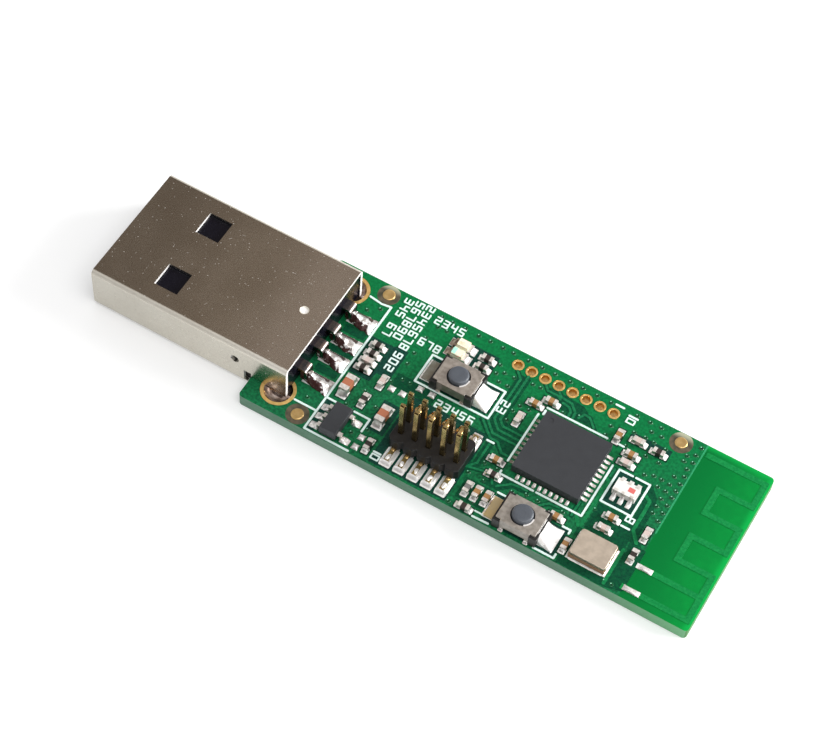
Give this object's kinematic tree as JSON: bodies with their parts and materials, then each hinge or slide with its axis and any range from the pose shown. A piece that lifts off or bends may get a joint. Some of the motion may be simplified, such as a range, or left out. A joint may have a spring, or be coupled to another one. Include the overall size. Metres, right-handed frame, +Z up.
{
  "type": "usb radio stick",
  "caption": "Bare smart home USB radio stick: a USB plug on a circuit board with a radio chip, pin header, two push switches, light diodes, crystal and a folded printed antenna.",
  "frame": {"origin": "under the middle of the stick, on the board's underside", "axes": "+X from the plug to the antenna, +Z up out of the side that carries the parts"},
  "size_m": [0.0562, 0.016, 0.0068],
  "materials": {
    "solder_mask": "glossy green solder mask",
    "masked_copper": "glossy green solder mask over copper",
    "gilt_copper": "thin gold plating",
    "solder": "bright, lumpy",
    "shell_plate": "satin nickel plate",
    "black_moulding": "fine satin",
    "package_moulding": "fine matt",
    "switch_plate": "satin, fine grain",
    "switch_terminal": "tinned",
    "switch_dome": "bright spring plate",
    "button_moulding": "fine satin",
    "diode_lens": "clear to milky",
    "crystal_ceramic": "matt",
    "crystal_lid": "satin",
    "balun_ceramic": "matt",
    "chip_tan": "satin",
    "chip_dark": "glossy glaze",
    "chip_white": "satin"
  },
  "bodies": {
    "stick": {"antenna_trace": "masked_copper", "balun": "balun_ceramic", "bulk_capacitor_1": "chip_tan", "bulk_capacitor_2": "chip_tan", "capacitor_1": "chip_tan", "capacitor_10": "chip_tan", "capacitor_2": "chip_tan", "capacitor_3": "chip_tan", "capacitor_4": "chip_tan", "capacitor_5": "chip_tan", "capacitor_6": "chip_tan", "capacitor_7": "chip_tan", "capacitor_8": "chip_tan", "capacitor_9": "chip_tan", "circuit_board": "solder_mask", "contact_solder": "solder", "crystal_base": "crystal_ceramic", "crystal_can": "crystal_lid", "header_body": "black_moulding", "header_pins": "gilt_copper", "inductor_1": "chip_white", "inductor_2": "chip_white", "inductor_3": "chip_white", "inductor_4": "chip_white", "inductor_5": "chip_white", "inductor_6": "chip_white", "led_green": "diode_lens", "led_red": "diode_lens", "led_resistors": "chip_dark", "leg_hole_plating": "gilt_copper", "leg_solder": "solder", "regulator_body": "package_moulding", "regulator_leads": "solder", "reset_switch_base": "black_moulding", "reset_switch_cover": "switch_plate", "reset_switch_dome": "switch_dome", "reset_switch_terminals": "switch_terminal", "resistor_1": "chip_dark", "resistor_2": "chip_dark", "resistor_3": "chip_dark", "resistor_4": "chip_dark", "resistor_5": "chip_dark", "resistor_6": "chip_dark", "soc_body": "package_moulding", "soc_leads": "solder", "solder_lands": "gilt_copper", "supply_capacitors": "chip_tan", "test_hole_plating": "gilt_copper", "usb_data_contacts": "gilt_copper", "usb_insulator": "black_moulding", "usb_power_contacts": "gilt_copper", "usb_resistors": "chip_dark", "usb_shell": "shell_plate", "user_switch_base": "black_moulding", "user_switch_cover": "switch_plate", "user_switch_dome": "switch_dome", "user_switch_terminals": "switch_terminal"},
    "reset_button": {"reset_switch_button": "button_moulding"},
    "user_button": {"user_switch_button": "button_moulding"}
  },
  "joints": [
    {"name": "reset_press", "type": "slide", "parent": "stick", "child": "reset_button", "axis": [0, 0, -1], "range_m": [0, 0.0002], "stiffness_N_per_m": 50, "deforming": ["reset_switch_dome"]},
    {"name": "user_press", "type": "slide", "parent": "stick", "child": "user_button", "axis": [0, 0, -1], "range_m": [0, 0.0002], "stiffness_N_per_m": 50, "deforming": ["user_switch_dome"]}
  ]
}
